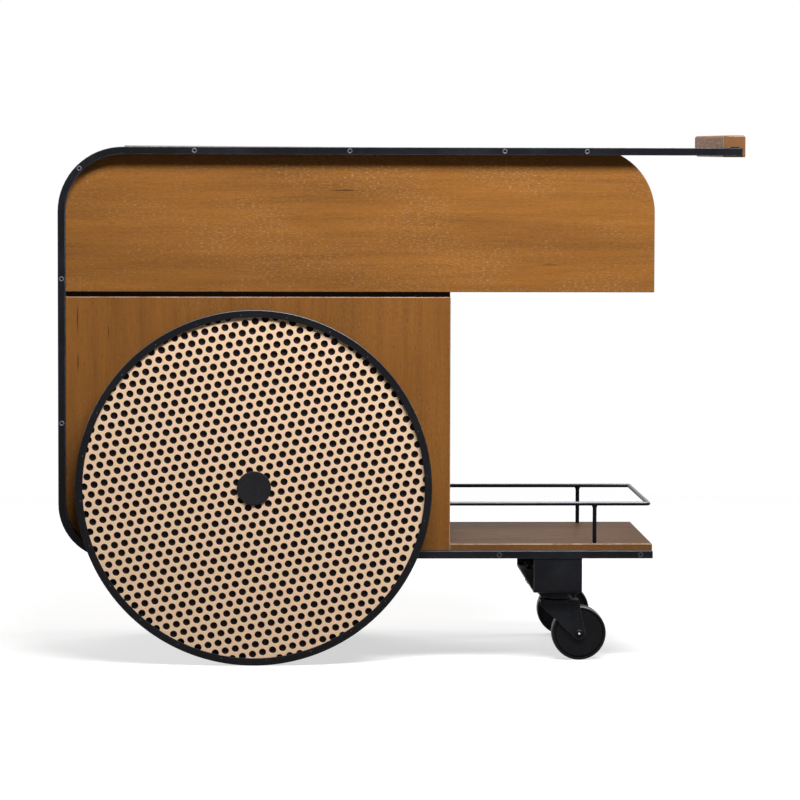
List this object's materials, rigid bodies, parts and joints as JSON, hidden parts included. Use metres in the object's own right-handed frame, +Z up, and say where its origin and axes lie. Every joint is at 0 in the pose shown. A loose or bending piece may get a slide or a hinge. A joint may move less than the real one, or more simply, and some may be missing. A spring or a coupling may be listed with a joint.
{
  "type": "bar cart",
  "caption": "Bar cart with two wooden cases and a railed shelf in C-shaped side frames, a push handle, lift-up top lids, large perforated wheels and swivel casters.",
  "frame": {"origin": "on the floor, in the middle of the cart's box", "axes": "+X towards the handle, -Y the front side, +Z up"},
  "size_m": [1.1, 0.492, 0.8485],
  "materials": {
    "frame_black": "satin powder coat",
    "steel": "satin",
    "zinc_steel": "zinc plated",
    "black_steel": "blackened",
    "plate_steel": "brushed",
    "upper_wood": "oiled, horizontal grain",
    "lower_wood": "oiled, upright grain",
    "shelf_wood": "oiled, satin",
    "handle_wood": "polished",
    "pale_wood": "pale veneer, satin",
    "rubber": "matte",
    "tyre": "matte",
    "black_plastic": "moulded",
    "backing_black": "matte black",
    "cap_black": "matte"
  },
  "bodies": {
    "root": {"side_frame_front": "frame_black", "side_frame_back": "frame_black", "frame_screws": "steel", "upper_side_front": "upper_wood", "upper_side_back": "upper_wood", "upper_end_left": "upper_wood", "upper_end_right": "upper_wood", "upper_bottom": "upper_wood", "upper_divider": "upper_wood", "centre_rail": "upper_wood", "case_spacer": "frame_black", "lid_pins": "steel", "lid_bumpers": "rubber", "lower_side_front": "lower_wood", "lower_side_back": "lower_wood", "lower_end": "lower_wood", "lower_top": "lower_wood", "base_board": "shelf_wood", "gallery_rail": "frame_black", "handle": "handle_wood", "handle_screws": "steel", "caster_bracket": "frame_black", "caster_bolts": "black_steel", "axle_front": "steel", "axle_back": "steel", "axle_bolts": "steel", "axle_clips": "steel", "caster_front_plate": "black_steel", "caster_front_race": "frame_black", "caster_front_kingpin": "zinc_steel", "caster_back_plate": "black_steel", "caster_back_race": "frame_black", "caster_back_kingpin": "zinc_steel"},
    "wheel_front": {"wheel_front_tyre": "tyre", "wheel_front_rim": "frame_black", "wheel_front_core": "backing_black", "wheel_front_face": "pale_wood", "wheel_front_hub": "frame_black", "wheel_front_bearings": "zinc_steel", "wheel_front_cap": "cap_black"},
    "wheel_back": {"wheel_back_tyre": "tyre", "wheel_back_rim": "frame_black", "wheel_back_core": "backing_black", "wheel_back_face": "pale_wood", "wheel_back_hub": "frame_black", "wheel_back_bearings": "zinc_steel", "wheel_back_cap": "cap_black"},
    "caster_front_arm": {"caster_front_fork": "frame_black", "caster_front_axle": "black_steel"},
    "caster_back_arm": {"caster_back_fork": "frame_black", "caster_back_axle": "black_steel"},
    "caster_front_wheel": {"caster_front_core": "black_plastic", "caster_front_tread": "tyre"},
    "caster_back_wheel": {"caster_back_core": "black_plastic", "caster_back_tread": "tyre"},
    "lid_left": {"lid_left_board": "upper_wood", "lid_left_plate": "plate_steel"},
    "lid_right": {"lid_right_board": "upper_wood"}
  },
  "joints": [
    {"name": "wheel_front_spin", "type": "hinge", "parent": "root", "child": "wheel_front", "pos_m": [-0.237, -0.232, 0.2845], "axis": [0, 1, 0], "continuous": true},
    {"name": "caster_front_swivel", "type": "hinge", "parent": "root", "child": "caster_front_arm", "pos_m": [0.2545, -0.168, 0.1], "axis": [0, 0, 1], "continuous": true},
    {"name": "caster_front_roll", "type": "hinge", "parent": "caster_front_arm", "child": "caster_front_wheel", "pos_m": [0.289, -0.168, 0.044], "axis": [0, 1, 0], "continuous": true},
    {"name": "wheel_back_spin", "type": "hinge", "parent": "root", "child": "wheel_back", "pos_m": [-0.237, 0.232, 0.2845], "axis": [0, 1, 0], "continuous": true},
    {"name": "caster_back_swivel", "type": "hinge", "parent": "root", "child": "caster_back_arm", "pos_m": [0.2545, 0.168, 0.1], "axis": [0, 0, 1], "continuous": true},
    {"name": "caster_back_roll", "type": "hinge", "parent": "caster_back_arm", "child": "caster_back_wheel", "pos_m": [0.289, 0.168, 0.044], "axis": [0, 1, 0], "continuous": true},
    {"name": "lid_left_swing", "type": "hinge", "parent": "root", "child": "lid_left", "pos_m": [-0.01, 0, 0.817], "axis": [0, 1, 0], "range_deg": [0, 90]},
    {"name": "lid_right_swing", "type": "hinge", "parent": "root", "child": "lid_right", "pos_m": [0.041, 0, 0.818], "axis": [0, -1, 0], "range_deg": [0, 90]}
  ]
}
